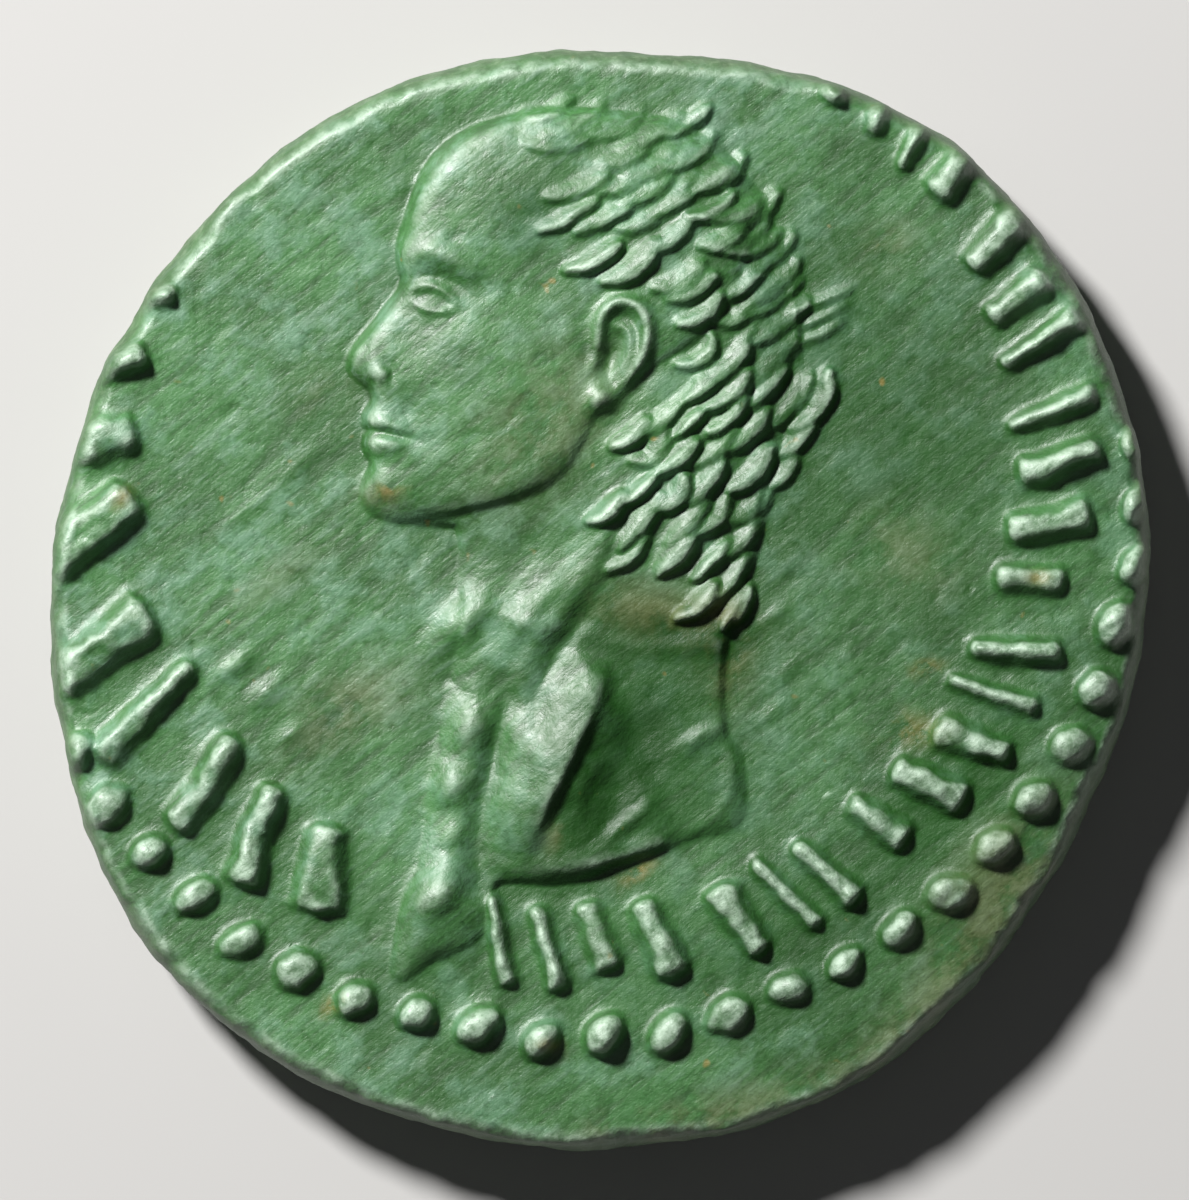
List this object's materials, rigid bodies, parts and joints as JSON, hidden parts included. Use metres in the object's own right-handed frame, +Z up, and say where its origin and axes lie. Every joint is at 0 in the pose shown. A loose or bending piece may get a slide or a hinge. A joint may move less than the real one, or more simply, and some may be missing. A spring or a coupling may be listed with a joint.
{
  "type": "coin",
  "caption": "Struck bronze coin on an irregular round flan: a portrait head to the left with curled hair and a draped bust, and a wreath round a star on the other side.",
  "frame": {"origin": "under the middle of the flan, on the surface the coin lies on", "axes": "+Z up out of the portrait side, +Y towards the top of the portrait's die, +X to the back of the head"},
  "size_m": [0.0248, 0.0248, 0.0036],
  "materials": {
    "patina": "satin green patina over bronze"
  },
  "bodies": {
    "root": {"coin": "patina"}
  },
  "joints": []
}
